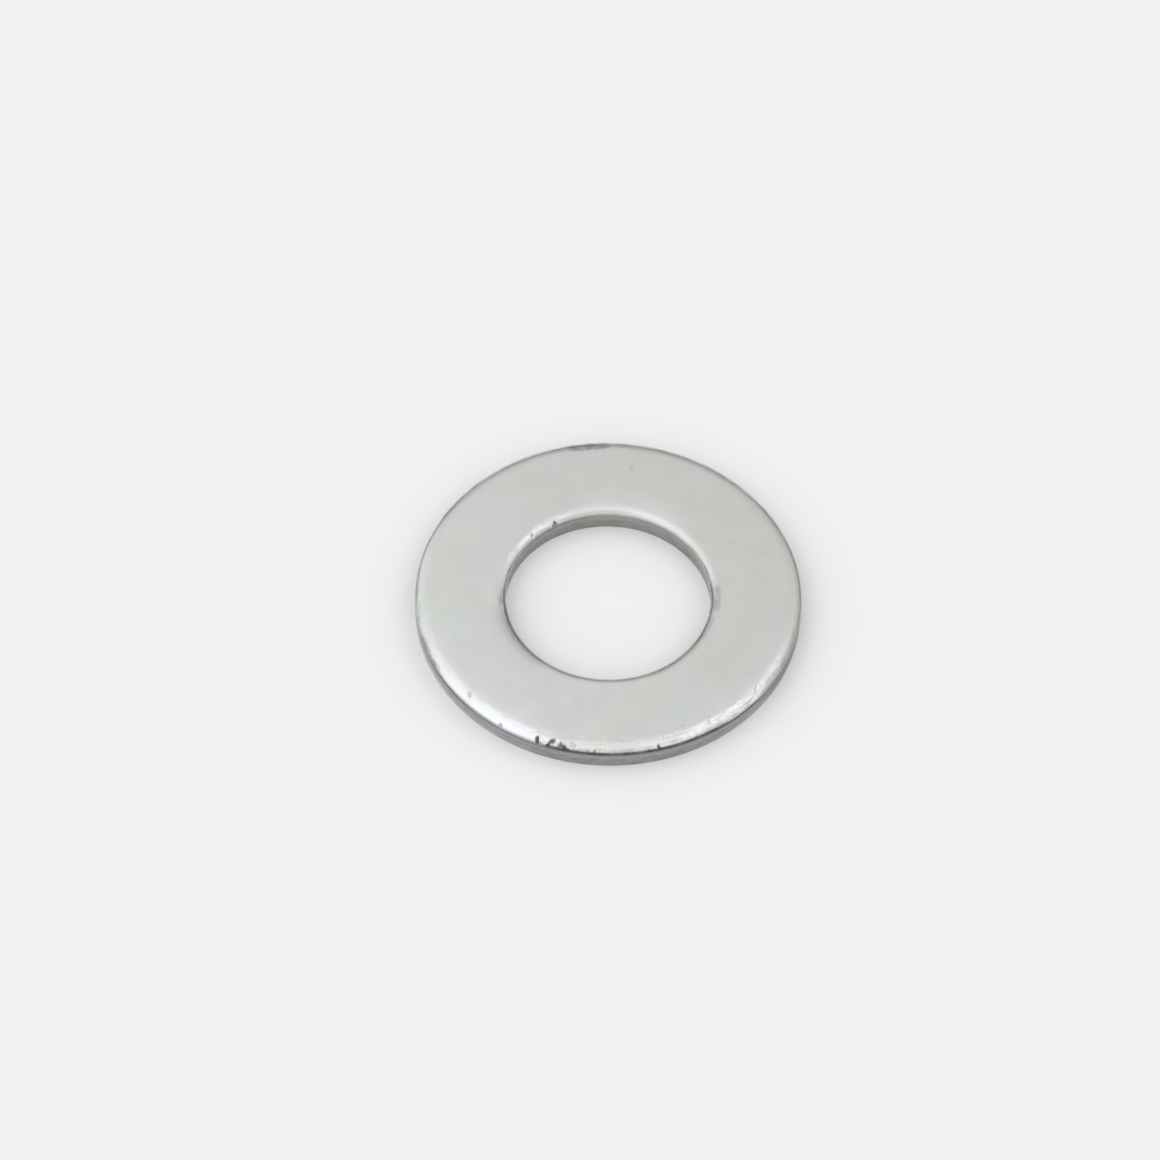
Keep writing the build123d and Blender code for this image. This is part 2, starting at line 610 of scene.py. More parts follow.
def knock_group():
    """One knock across a rolled edge: how deep it goes in, with the lip that it raises, and its mask."""
    names = (*KNOCK_SIZES, "Facing", "Anchor Radius", "Anchor Height", "Raggedness")
    net, given, result = new_group("Edge Knock", SHAPE, names, ("Dent", "Mask"))
    position = net.add("GeometryNodeInputPosition")
    x, y, z = net.split(net.turn(position, -given["Azimuth"]))
    outward = (x - given["Anchor Radius"]) * given["Facing"]
    upward = z - given["Anchor Height"]
    ragged = (net.noise(position, *KNOCK_NOISE) - 0.5) * given["Raggedness"]
    down_the_roll = (outward - upward) * DIAGONAL + given["Lift"] + ragged
    sideways = y - given["Slant"] * down_the_roll + ragged

    along = down_the_roll / (given["Length"] * 0.5)
    widening = net.ramp(along, -1.0, 1.0, *KNOCK_WIDENING)
    across = sideways / (given["Width"] * 0.5 * widening)
    inward = (outward + upward) / (KNOCK_DEPTH_REACH * 2.0**0.5)
    reach = net.length(net.vector(across, along, inward))

    pit = net.ramp(reach, 0.0, 1.0, 1.0, 0.0)
    lip = net.ramp(reach, *KNOCK_LIP_RISE) * net.ramp(reach, *KNOCK_LIP_FALL, KNOCK_LIP_HEIGHT, 0.0)
    near_side = net.math("GREATER_THAN", x, 0.0)
    net.feed(result["Dent"], (pit - lip) * given["Depth"] * near_side)
    net.feed(result["Mask"], net.ramp(reach, *KNOCK_DIRT_FADE, 1.0, 0.0) * near_side * given["Dirt"])
    return net.tree


def ring_group():
    """The whole ring: the section swept round the bore, then torn, knocked and roughened at its edges."""
    inputs = dict.fromkeys(map(title, WasherSizes.__annotations__), 0.0)
    inputs.update({"Steps Round": 64, "Metal": "NodeSocketMaterial"})
    net, given, result = new_group("Blanked Ring", SHAPE, inputs, {"Geometry": GEOMETRY})
    profile = net.place(section_group(), {name: given[name] for name in SECTION_SIZES})["Curve"]
    outer, bore, thickness = given["Outer Radius"], given["Bore Radius"], given["Thickness"]

    # the sweep lays the section's x along the path's normal, and its y downwards
    x, y, _ = net.split(net.add("GeometryNodeInputPosition"))
    moved = {"Geometry": profile, "Position": net.vector(x - outer, -y)}
    profile = net.add("GeometryNodeSetPosition", moved)
    circle = {"Resolution": given["Steps Round"], "Radius": outer}
    circle = net.add("GeometryNodeCurvePrimitiveCircle", circle)
    here = net.add("GeometryNodeInputPosition")
    aside = (-sin(radians(CLOSE_STEPS_AZIMUTH)), cos(radians(CLOSE_STEPS_AZIMUTH)), 0.0)
    slip = net.dot(net.vector_math("NORMALIZE", here), aside) * -CROWDING
    path = net.add("GeometryNodeSetPosition", {"Geometry": circle, "Position": net.turn(here, slip)})
    path = net.add("GeometryNodeSetCurveNormal", {"Curve": path}, mode="Z_UP")
    swept = net.add("GeometryNodeCurveToMesh", {"Curve": path, "Profile Curve": profile})
    ring = net.add("GeometryNodeMergeByDistance", {"Geometry": swept, "Distance": WELD_DISTANCE})

    # where a point lies on the section
    position = net.add("GeometryNodeInputPosition")
    x, y, height = net.split(position)
    level = net.vector(x, y)
    radius = net.length(level)
    outward = net.vector_math("NORMALIZE", level)
    on_rim = net.math("GREATER_THAN", radius, (outer + bore) * 0.5)
    on_bore = 1.0 - on_rim
    facing = on_rim * 2.0 - 1.0
    roll_depth = net.mix(on_rim, given["Bore Roll Depth"], given["Rim Roll Depth"])
    land_top = thickness - roll_depth
    land_foot = land_top - given["Land Height"]

    edge_radius = net.mix(on_rim, bore, outer)
    beyond_edge = (radius - edge_radius) * facing
    below_face = thickness - height
    run = beyond_edge + below_face
    inside = beyond_edge * (-1.0 / MM)
    edge_x, edge_y, _ = net.split(net.scale(outward, edge_radius / MM))
    edge_place = net.vector(edge_x, edge_y, run / MM)

    def around(azimuth, spread, fade):
        """1 around an azimuth, and 0 beyond its spread."""
        cosine = net.dot(outward, (cos(radians(azimuth)), sin(radians(azimuth)), 0.0))
        return net.ramp(cosine, cos(radians(spread + fade)), cos(radians(spread - fade)))

    def edge_noise(along, across, detail, draw):
        place = net.vector_math("DIVIDE", edge_place, (along, along, across))
        return net.noise(place, 1.0, detail, given["Seed"] + draw)

    # the tear starts higher in some places than in others
    tear_line = land_foot + (edge_noise(*TEAR_WANDER) - 0.5) * given["Land Unevenness"]
    above_tear = net.ramp(height, tear_line - EDGE_BLUR, tear_line + EDGE_BLUR)
    torn = (1.0 - above_tear) * net.ramp(height, 0.0, given["Lower Edge Radius"])
    rolled = net.least(net.most(below_face / roll_depth, 0.0), 1.0)
    on_land = net.ramp(height, land_top - EDGE_BLUR, land_top + EDGE_BLUR, 1.0, 0.0) * above_tear

    # under the lip of the roll the land starts with a narrow lap; its mask also paints shade into the
    # colour
    def lap_at(lift):
        return net.ramp(abs(height - (land_top + lift)), *LAP_FADE, 1.0, 0.0)

    lap_left_out = around(*LAP_LEFT_OUT) * on_bore
    lap_and_shade = lap_at(FAINT_LAP_HEIGHT) * FAINT_LAP * (1.0 - lap_left_out)
    for azimuth, spread, fade, lift, strength in RIM_LAPS:
        lap_and_shade = net.most(lap_and_shade, lap_at(lift * MM) * around(azimuth, spread, fade) * on_rim * strength)
    lap_and_shade = lap_and_shade * net.ramp(edge_noise(*LAP_BREAKS), *LAP_BREAK_LEVELS)

    # painted shade lies in the lap and as a film on the near side of the bore, and darker places, partly
    # grime and partly painted shade, lie on both rolls
    near_bore_shade = around(*BORE_NEAR_SHADE) * on_bore * net.ramp(rolled, *BORE_NEAR_SHADE_START) * BORE_NEAR_SHADE_STRENGTH
    grime = net.most(lap_and_shade, near_bore_shade)
    blotches = net.ramp(edge_noise(*DARK_PLACE_BLOTCHES), *DARK_PLACE_BLOTCH_LEVELS)
    frayed = inside + (edge_noise(*DARK_PLACE_FRAY) - 0.5) * DARK_PLACE_FRAY_REACH
    above_land = net.ramp(height, land_top - DARK_PLACE_DROP, land_top)
    for places, side in ((RIM_DARK_PLACES, on_rim), (BORE_DARK_PLACES, on_bore)):
        for azimuth, spread, fade, reach, strength in places:
            window = around(azimuth, spread, fade)
            tapered = frayed + window * (-DARK_PLACE_TAPER * reach)
            full_reach = (1.0 - DARK_PLACE_TAPER) * reach
            within = net.ramp(tapered, full_reach - DARK_PLACE_BLUR, full_reach + DARK_PLACE_BLUR, 1.0, 0.0)
            grime = net.most(grime, window * within * above_land * blotches * side * strength)

    # towards some of its edge a painted highlight makes the metal paler, and painted shade makes it darker
    paler, darker = 0.0, 0.0
    for places, side, foot in ((RIM_PAINTED_TONES, on_rim, RIM_FOOT_TONE), (BORE_PAINTED_TONES, on_bore, BORE_FOOT_TONE)):
        for azimuth, spread, fade, reach, strength in places:
            near_edge = net.ramp(inside, 0.0, reach, 1.0, 0.0)
            tone = around(azimuth, spread, fade) * near_edge * side * abs(strength)
            if strength < 0.0:
                darker = net.most(darker, tone * net.ramp(height, *FOOT_TONE_HEIGHTS, foot, 1.0))
                continue
            if reach > WIDE_TONE:
                tone = tone * net.ramp(inside, *PALE_ROLL_SPAN, PALE_ROLL, 1.0)
            paler = net.most(paler, tone)

    # in other places a roll gets a painted highlight, evenly or in flecks
    even_shine, flecked_shine = 0.0, 0.0
    for places, side in ((RIM_SHINE, on_rim), (BORE_SHINE, on_bore)):
        for azimuth, spread, fade, strength, flecked in places:
            window = around(azimuth, spread, fade) * side
            even_shine = even_shine + window * (strength * (1.0 - flecked))
            flecked_shine = flecked_shine + window * (strength * flecked)

    # away from the front the foot of the rim's wall is painted paler, as light from the floor, and so is
    # the bore's wall on the right
    rim_bounce_light = (1.0 - around(*FRONT_WITHOUT_BOUNCE)) * on_rim * net.ramp(height, *BOUNCE_HEIGHTS)
    rim_bounce_light = rim_bounce_light * (around(*BOUNCE_MOST) * BOUNCE_MORE + 1.0)
    rubbed = rim_bounce_light + around(*BORE_BOUNCE) * on_bore * BORE_BOUNCE_STRENGTH

    # knocks bite into the nose of a roll
    knock = knock_group()
    knocks = []
    sides = ((RIM_KNOCKS, "Rim", outer, OUTWARDS), (BORE_KNOCKS, "Bore", bore, INWARDS))
    for places, name, edge, side in sides:
        nose, depth = given[f"{name} Nose Radius"], given[f"{name} Roll Depth"]
        anchor = {
            "Facing": side,
            "Anchor Radius": edge - nose * (side * (1.0 - DIAGONAL)),
            "Anchor Height": thickness - depth + nose * DIAGONAL,
            "Raggedness": given["Knock Raggedness"],
        }
        for azimuth, *lengths, slant, darkening in places:
            sizes = (radians(azimuth), *(length * MM for length in lengths), slant, darkening)
            knocks.append(net.place(knock, {**dict(zip(KNOCK_SIZES, sizes)), **anchor}))
    dent = total(each["Dent"] for each in knocks)
    knocked = net.least(total(each["Mask"] for each in knocks), 1.0)

    # the roll is wavy all round, and chipped where the die was worn
    reach = net.mix(on_rim, given["Bore Roll Reach"], given["Rim Roll Reach"])
    inside_edge = -beyond_edge / reach
    to_roll_end = net.ramp(inside_edge, *ROLL_END, 1.0, 0.0)
    on_roll = to_roll_end * net.ramp(height, land_top - EDGE_BLUR, land_top)
    worn = around(*WORN_DIE) * on_rim
    waviness = given["Roll Waviness"]
    waves = (edge_noise(*ROLL_WAVES) - 0.5) * (WAVES_ALL_ROUND + worn) * waviness
    chips = net.ramp(edge_noise(*ROLL_CHIPS), *CHIP_LEVELS) * (CHIPS_ALL_ROUND + worn) * given["Chip Depth"]
    inner_edge = net.ramp(inside_edge, *SCALLOPS_START) * to_roll_end
    scallops = (edge_noise(*ROLL_SCALLOPS) - 0.5) * inner_edge * (SCALLOPS_ALL_ROUND + worn) * waviness
    bites = (waves + chips) * on_roll + scallops

    # the face falls away a little towards the rim, and more where the die was blunter
    crowned = net.most((beyond_edge + CROWN_REACH) / CROWN_REACH, 0.0) ** 2.0
    crown = crowned * on_rim * given["Face Crown"] * (height / thickness) * -1.0
    wobble = (edge_noise(*BLUNT_WOBBLE) - 0.5) * BLUNT_WOBBLE_REACH
    drawn = net.ramp(beyond_edge + wobble, *BLUNT_SPAN) * around(*BLUNT_DIE) * on_rim
    fall = crown - drawn * net.ramp(height, 0.0, thickness) * given["Blunt Fall"]

    tear = net.noise(position, *TEAR_NOISE, given["Seed"]) * torn * given["Tear Depth"]
    pull_in = (tear + lap_and_shade * given["Lap Depth"]) * -facing
    slope = net.vector_math("ADD", net.scale(outward, facing * DIAGONAL), net.vector(0.0, 0.0, DIAGONAL))
    bitten = net.scale(slope, -(dent + bites))
    shift = net.vector_math("ADD", net.scale(outward, pull_in), bitten)
    shift = net.vector_math("ADD", shift, net.vector(0.0, 0.0, fall))

    stored = {
        "rolled": rolled,
        "on_land": on_land,
        "torn": torn,
        "grime": grime,
        "paler": paler,
        "darker": darker,
        "rubbed": rubbed,
        "knocked": knocked,
        "inside": inside,
        "on_rim": on_rim,
        "even_shine": even_shine,
        "flecked_shine": flecked_shine,
    }
    for name, value in stored.items():
        ring = net.store(ring, name, value)
    ring = net.store(ring, "edge_place", edge_place, data_type="FLOAT_VECTOR")
    ring = net.add("GeometryNodeSetPosition", {"Geometry": ring, "Offset": shift})
    ring = net.add("GeometryNodeSetShadeSmooth", {"Geometry": ring})
    ring = net.add("GeometryNodeRealizeInstances", {"Geometry": ring})
    ring = net.add("GeometryNodeSetMaterial", {"Geometry": ring, "Material": given["Metal"]})
    net.feed(result["Geometry"], ring)
    return net.tree


# --------------------------------------
# Finish of the metal, with painted light and shade
# --------------------------------------


def grain_group():
    """Fine lines that run one way, as the rolls leave them on sheet: a height from 0 to 1."""
    inputs = {"Position": VECTOR, "Angle": 0.0, "Length": 1.0, "Width": 0.1}
    net, given, result = new_group("Drawn Grain", SHADER, inputs, ["Height"])
    x, y, z = net.split(net.turn(given["Position"], given["Angle"]))
    stretched = net.vector(x / given["Length"], y / given["Width"], z / given["Width"])
    net.feed(result["Height"], net.noise(stretched, 1.0, 3.0))
    return net.tree


def clouds_group():
    """Soft uneven patches, from -1 to 1."""
    inputs = {"Position": VECTOR, "Size": 1.0, "Detail": 2.0, "Seed": 0.0}
    net, given, result = new_group("Clouds", SHADER, inputs, ["Value"])
    noise = net.noise(given["Position"], 1.0 / given["Size"], given["Detail"], given["Seed"])
    net.feed(result["Value"], (noise - 0.5) * 2.0)
    return net.tree


def tints_group(clouds):
    """Faint patches on sheet: rose and green, straw and steel, lighter and darker."""
    net, given, result = new_group("Sheet Tints", SHADER, {"Position": VECTOR}, {"Tint": "NodeSocketColor"})

    def patches(size, detail, draw, strength):
        inputs = {"Position": given["Position"], "Size": size, "Detail": detail, "Seed": draw}
        return net.place(clouds, inputs)["Value"] * strength

    rose, steel = patches(*ROSE_PATCHES), patches(*STEEL_PATCHES)
    light = patches(*LIGHT_PATCHES) + 1.0
    red = light * (1.0 + rose)
    green = light * (1.0 - rose * GREEN_SHARE)
    blue = light * (1.0 + steel)
    net.feed(result["Tint"], net.add("ShaderNodeCombineColor", {"Red": red, "Green": green, "Blue": blue}))
    return net.tree


def hairlines_group():
    """Sparse thin scratches, mostly along one direction: a mask that is 1 in a scratch."""
    sizes = {"Length": 14.0, "Spacing": 0.5, "Fineness": 0.02}
    inputs = {"Position": VECTOR, "Angle": 0.0, "Seed": 0.0, **sizes}
    net, given, result = new_group("Hairlines", SHADER, inputs, ["Mask"])
    x, y, _ = net.split(net.turn(given["Position"], given["Angle"]))
    stretched = net.vector(x / given["Length"], y / given["Spacing"])
    contour = abs(net.noise(stretched, 1.0, 1.0, given["Seed"]) - 0.5)
    line = net.ramp(contour, 0.0, given["Fineness"], 1.0, 0.0)
    patches = net.ramp(net.noise(given["Position"], *HAIRLINE_NOISE, given["Seed"]), *HAIRLINE_LEVELS)
    net.feed(result["Mask"], line * patches)
    return net.tree


def mark_group():
    """One small dent or scratch in a flat face: a mask that is 1 in its middle."""
    inputs = {"Position": VECTOR, "Centre": VECTOR, "Angle": 0.0, "Length": 1.0, "Width": 1.0}
    net, given, result = new_group("Face Mark", SHADER, inputs, ["Mask"])
    away = net.vector_math("SUBTRACT", given["Position"], given["Centre"])
    x, y, z = net.split(net.turn(away, -given["Angle"]))
    place = net.vector(x / given["Length"], y / given["Width"], z / given["Length"])
    net.feed(result["Mask"], net.ramp(net.length(place) * 2.0, 0.0, 1.0, 1.0, 0.0))
    return net.tree


def shine_group():
    """Where a rolled edge gets a painted highlight, up to a ragged line, and where it is dimmer between
    flecks.
    """
    inputs = {"Edge Place": VECTOR, "Inside": 0.0, "Reach": 0.0, "Even": 0.0, "Flecked": 0.0}
    net, given, result = new_group("Rubbed Roll", SHADER, inputs, ("Bright", "Dimmed"))

    def edge_noise(grain, detail, draw):
        return net.noise(net.vector_math("DIVIDE", given["Edge Place"], grain), 1.0, detail, draw)

    ragged = (edge_noise(*SHINE_EDGE) - 0.5) * SHINE_RAGGEDNESS
    band = net.ramp(given["Inside"] + ragged - given["Reach"], *SHINE_FADE, 1.0, 0.0)
    fleck = net.ramp(edge_noise(*SHINE_FLECKS), *FLECK_LEVELS)
    net.feed(result["Bright"], band * (given["Even"] + given["Flecked"] * fleck))
    net.feed(result["Dimmed"], band * (given["Flecked"] * (1.0 - fleck)))
    return net.tree


def ring_metal(look):
    """Satin sheet on the faces, rolls with painted highlights, streaked lands, torn duller fractures,
    painted shade.
    """
    material = bpy.data.materials.new("ring_metal_finish")
    material.use_nodes = True
    material.node_tree.nodes.clear()
    net = Net(material.node_tree)
    clouds, hairlines, mark = clouds_group(), hairlines_group(), mark_group()
    millimetres = net.scale(net.add("ShaderNodeTexCoord", output="Object"), 1.0 / MM)

    def stored(name, output="Fac"):
        return net.add("ShaderNodeAttribute", output=output, attribute_name=name)

    def cloud(size, detail, draw, stretch=None):
        place = net.vector_math("MULTIPLY", millimetres, stretch) if stretch else millimetres
        return net.place(clouds, {"Position": place, "Size": size, "Detail": detail, "Seed": draw})["Value"]

    rolled, on_land, torn = (stored(name) for name in ("rolled", "on_land", "torn"))
    grime, rubbed, knocked = (stored(name) for name in ("grime", "rubbed", "knocked"))
    wall = net.most(on_land, torn)
    off_wall = 1.0 - wall
    face = 1.0 - net.ramp(rolled, 0.0, FACE_SHARE_OF_ROLL)

    # surface relief, in millimetres
    rolling = net.place(grain_group(), {"Position": millimetres, **ROLLING_LINES})["Height"]
    satin, streaks, tear = cloud(*SATIN), cloud(*STREAKS), cloud(*TEAR_GRAIN)
    scratches = [
        net.place(hairlines, {"Position": millimetres, "Angle": radians(angle), "Seed": draw})["Mask"]
        for angle, draw in HAIRLINES
    ]
    scratched = net.least(total(scratches), 1.0) * face
    marks = []
    for radius, azimuth, length, width, angle, strength in FACE_MARKS:
        centre = (radius * cos(radians(azimuth)), radius * sin(radians(azimuth)), ring_high.z / MM)
        size = {"Length": length, "Width": width, "Angle": radians(azimuth + angle)}
        mask = net.place(mark, {"Position": millimetres, "Centre": centre, **size})["Mask"]
        marks.append(mask * strength)
    marked = net.least(total(marks), 1.0)
    relief = (
        rolling * face * (look.grain_depth / MM)
        + satin * off_wall * (look.satin_depth / MM)
        + scratched * (-look.scratch_depth / MM)
        + marked * (-look.mark_depth / MM)
        + streaks * on_land * (look.streak_depth / MM)
        + tear * torn * (look.tear_depth / MM)
    )
    normal = net.add("ShaderNodeBump", {"Height": relief, "Strength": 1.0, "Distance": MM})

    # painted highlight on the rolls, which are smoother there too, with a crisp and ragged inner edge
    rubbing = {
        "Edge Place": stored("edge_place", "Vector"),
        "Inside": stored("inside"),
        "Reach": net.mix(stored("on_rim"), BORE_SHINE_REACH, RIM_SHINE_REACH),
        "Even": stored("even_shine"),
        "Flecked": stored("flecked_shine"),
    }
    roll_highlight = net.place(shine_group(), rubbing)
    bright = roll_highlight["Bright"] * off_wall
    dimmed = roll_highlight["Dimmed"] * off_wall

    # colour
    haze = cloud(*HAZE)
    # painted shade: darker towards one side of the ring; the land's colour turns warmer along the same span
    side_shading = net.dot(millimetres, SHADED_SIDE) + haze * SHADING_SPREAD
    wall_colour = net.mix_colour(net.ramp(side_shading, *WALL_SHADING_SPAN), look.cool_wall, look.warm_wall)
    colour = net.mix_colour(net.ramp(cloud(*COOL_TO_WARM), *TINT_LEVELS), look.cool_sheet, look.warm_sheet)
    for share, layer in (
        (net.ramp(cloud(*MOTTLE), *MOTTLE_LEVELS), look.dull_sheet),
        (net.ramp(side_shading, *SHADING_SPAN), look.dull_sheet),
        # painted light: dimmer between glinting flecks, paler near some edges, highlights on the rolls
        (dimmed * DIMMED_SHARE, look.dull_sheet),
        (stored("paler"), look.bright_roll),
        (bright, look.bright_roll),
        (on_land * net.ramp(streaks, *STREAK_LEVELS), wall_colour),
        (torn * net.ramp(tear, *TEAR_LEVELS), look.torn_colour),
        # painted light from the floor on the foot of the walls
        (rubbed * BOUNCE_SHARE, look.cool_sheet),
    ):
        colour = net.mix_colour(share, colour, layer)
    tints = net.place(tints_group(clouds), {"Position": millimetres})["Tint"]
    colour = net.mix_colour(net.ramp(wall, 0.0, 1.0, 1.0, TINT_ON_WALLS), colour, tints, "MULTIPLY")
    # dirt in knocks, marks and scratches, and the painted shade along the edges, all mix towards one dark
    # colour
    darkening = net.most(knocked * KNOCK_DIRT, marked)
    for layer in (stored("darker"), scratched * SCRATCH_DIRT, grime * GRIME_AND_SHADE_SHARE):
        darkening = net.most(darkening, layer)
    colour = net.mix_colour(darkening, colour, look.dirt_colour)

    # roughness
    rough = net.mix(net.ramp(rolled, 0.0, SMOOTH_SHARE_OF_ROLL), look.face_roughness, look.roll_roughness)
    for share, layer in (
        (bright, look.roll_roughness),
        (on_land, look.land_roughness),
        (torn, look.torn_roughness),
    ):
        rough = net.mix(share, rough, layer)
    rough = rough + haze * ROUGHNESS_CHANGE + satin * ROUGHNESS_CHANGE

    surface = {"Base Color": colour, "Metallic": 1.0, "Roughness": rough, "Normal": normal}
    net.node("ShaderNodeOutputMaterial", {"Surface": net.add("ShaderNodeBsdfPrincipled", surface)})
    return material


# --------------------------------------
# What a user can change
# --------------------------------------


def number(name, description, default, **more):
    return bpy.props.FloatProperty(name=name, description=description, default=default, **more)


def level_value(name, description, default, **more):
    return number(name, description, default, min=0.0, **more)


def length_value(name, description, default):
    return level_value(name, description, default, subtype="DISTANCE", unit="LENGTH", precision=5)


def share_value(name, description, default):
    return level_value(name, description, default, max=1.0, subtype="FACTOR")


def angle_value(name, description, degrees):
    return number(name, description, radians(degrees), subtype="ANGLE")


def colour_value(name, description, default):
    settings = {"default": (*default, 1.0), "size": 4, "min": 0.0, "max": 1.0, "subtype": "COLOR"}
    return bpy.props.FloatVectorProperty(name=name, description=description, **settings)


class WasherSizes(bpy.types.PropertyGroup):
    """Sizes of the ring."""

    outer_radius: length_value("Outer Radius", "Radius of the rim at its land", ring_high.x)
    bore_radius: length_value("Bore Radius", "Radius of the bore at its land", BORE_RADIUS)
    thickness: length_value("Thickness", "Thickness of the sheet", ring_high.z - ring_low.z)
    rim_roll_reach: length_value("Rim Roll Reach", "How far the rim's roll reaches inwards", 0.80 * MM)
    rim_roll_depth: length_value("Rim Roll Depth", "How far the rim's roll goes down", 0.40 * MM)
    rim_nose_radius: length_value("Rim Nose Radius", "Tight end of the rim's roll", 0.18 * MM)
    bore_roll_reach: length_value("Bore Roll Reach", "How far the bore's roll reaches outwards", 0.55 * MM)
    bore_roll_depth: length_value("Bore Roll Depth", "How far the bore's roll goes down", 0.33 * MM)
    bore_nose_radius: length_value("Bore Nose Radius", "Tight end of the bore's roll", 0.10 * MM)
    land_height: length_value("Land Height", "Height of a cut's burnished part", 0.42 * MM)
    fracture_lean: length_value("Fracture Lean", "How far the torn part leans back", 0.03 * MM)
    lower_edge_radius: length_value("Lower Edge Radius", "Round of the tumbled burr", 0.06 * MM)
    land_unevenness: length_value("Land Unevenness", "How far the line of the tear wanders", 0.30 * MM)
    tear_depth: length_value("Tear Depth", "Relief of the torn part", 0.035 * MM)
    lap_depth: length_value("Lap Depth", "How far the land is tucked in under a roll", 0.028 * MM)
    knock_raggedness: length_value("Knock Raggedness", "How ragged the knocks' outlines are", 0.42 * MM)
    roll_waviness: length_value("Roll Waviness", "Height of the waves along the rolls", 0.060 * MM)
    chip_depth: length_value("Chip Depth", "Depth of the chips where the die was worn", 0.030 * MM)
    blunt_fall: length_value("Blunt Fall", "How far a blunt die draws the face down", 0.03 * MM)
    face_crown: length_value("Face Crown", "How far the face falls away towards the rim", 0.018 * MM)
    steps_round: bpy.props.IntProperty(
        name="Steps Round", description="Number of steps round the bore", default=1080, min=24
    )
    seed: level_value("Seed", "Another number gives other pits and tears", 3.0)


class WasherFinish(bpy.types.PropertyGroup):
    """Finish of the metal, and the colours that paint light and shade on it."""

    cool_sheet: colour_value("Cool Sheet", "Sheet in its cooler patches", (0.722, 0.752, 0.738))
    warm_sheet: colour_value("Warm Sheet", "Sheet in its warmer patches", (0.765, 0.748, 0.730))
    # darker sheet, for the random mottle and for the painted shade on one side
    dull_sheet: colour_value("Dull Sheet", "Sheet on the side that has dulled", (0.672, 0.672, 0.645))
    # painted highlight: this colour stands in for light glinting off the rolls and near some edges
    bright_roll: colour_value("Bright Roll", "Where a roll is rubbed bright", (0.895, 0.91, 0.945))
    # the land's colour is cooler where the painted shade is light and warmer where it is dark
    cool_wall: colour_value("Cool Land", "Burnished wall on the bright side", (0.358, 0.360, 0.383))
    warm_wall: colour_value("Warm Land", "Burnished wall on the dulled side", (0.368, 0.362, 0.340))
    torn_colour: colour_value("Fracture", "Torn wall", (0.345, 0.34, 0.33))
    # this dark colour also paints shade along the edges, not only dirt
    dirt_colour: colour_value("Dirt", "What settles in knocks and scratches", (0.078, 0.080, 0.069))
    face_roughness: share_value("Face Roughness", "Roughness of the flat faces", 0.34)
    roll_roughness: share_value("Roll Roughness", "Roughness of the rubbed rolls", 0.19)
    land_roughness: share_value("Land Roughness", "Roughness of the burnished walls", 0.40)
    torn_roughness: share_value("Fracture Roughness", "Roughness of the torn walls", 0.60)
    grain_depth: length_value("Grain Depth", "Depth of the rolling lines", 0.0008 * MM)
    satin_depth: length_value("Satin Depth", "Depth of the tumbled texture", 0.0012 * MM)
    scratch_depth: length_value("Scratch Depth", "Depth of the hairlines", 0.0012 * MM)
    mark_depth: length_value("Mark Depth", "Depth of the dents in the face", 0.010 * MM)
    streak_depth: length_value("Streak Depth", "Depth of the streaks in the lands", 0.0020 * MM)
    tear_depth: length_value("Tear Grain Depth", "Depth of the grain in the fractures", 0.006 * MM)


class WasherStudio(bpy.types.PropertyGroup):
    """Floor, light and view."""

    floor_colour: colour_value("Floor", "Colour of the plain floor", (0.955, 0.949, 0.963))
    high_level: level_value("Light Overhead", "Brightness of the surroundings overhead", 0.86)
    middle_level: level_value("Light Half Way Up", "Brightness of the surroundings half way up", 0.81)
    low_level: level_value("Light Low Down", "Brightness of the surroundings at the horizon", 0.10)
    glow_level: level_value("Left Glow", "How much brighter the surroundings are on the left", 0.30)
    shade_level: level_value("Back Shade", "How much darker the surroundings are at the back", 0.38)
    left_level: level_value("Left Softbox", "Brightness of the softbox on the left", 0.13)
    right_level: level_value("Right Softbox", "Brightness of the softbox on the right", 0.28)
    front_level: level_value("Front Softbox", "Brightness of the softbox over the camera", 0.12)
    view_elevation: angle_value("View Elevation", "How steeply the camera looks down", 53.49)
    view_roll: angle_value("View Roll", "How far the camera is tipped sideways", 1.27)
    view_distance: length_value("View Distance", "From the camera to the ring", 0.7718)
    view_width: length_value("View Width", "Width of what the camera shows at the ring", 0.06903)
    ring_right: length_value("Ring to the Right", "How far right of the middle the ring lies", 1.660 * MM)
    ring_down: length_value("Ring Downwards", "How far below the middle the ring lies", 1.755 * MM)


# --------------------------------------
# Operators
# --------------------------------------


def title(name):
    """The name that a setting has in the panel and in the tree."""
    return name.replace("_", " ").title()


def add_object(name, data):
    thing = bpy.data.objects.new(name, data)
    bpy.context.scene.collection.objects.link(thing)
    return thing


class WASHER_OT_make_ring(bpy.types.Operator):
    """Makes the blanked ring in its metal"""

    bl_idname = "washer.make_ring"
    bl_label = "Make Ring"

    def execute(self, context):
        sizes = context.scene.washer_sizes
        tree = ring_group()
        ring = add_object("blanked_ring", bpy.data.meshes.new("blanked_ring"))
        modifier = ring.modifiers.new("Blanked Ring", "NODES")
        modifier.node_group = tree
        values = {"Metal": ring_metal(context.scene.washer_finish)}
        for name in WasherSizes.__annotations__:
            values[title(name)] = getattr(sizes, name)
        for item in tree.interface.items_tree:
            if item.in_out == "INPUT":
                modifier[item.identifier] = values[item.name]

        depsgraph = context.evaluated_depsgraph_get()
        depsgraph.update()
        evaluated = ring.evaluated_get(depsgraph)
        kept = {"preserve_all_data_layers": True, "depsgraph": depsgraph}
        made = bpy.data.meshes.new_from_object(evaluated, **kept)
        ring.modifiers.remove(modifier)
        ring.data = made
        if not made.polygons:
            raise RuntimeError("the ring came out empty")
        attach(ring, "root")
        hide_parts(RING_NODE)
        return {"FINISHED"}


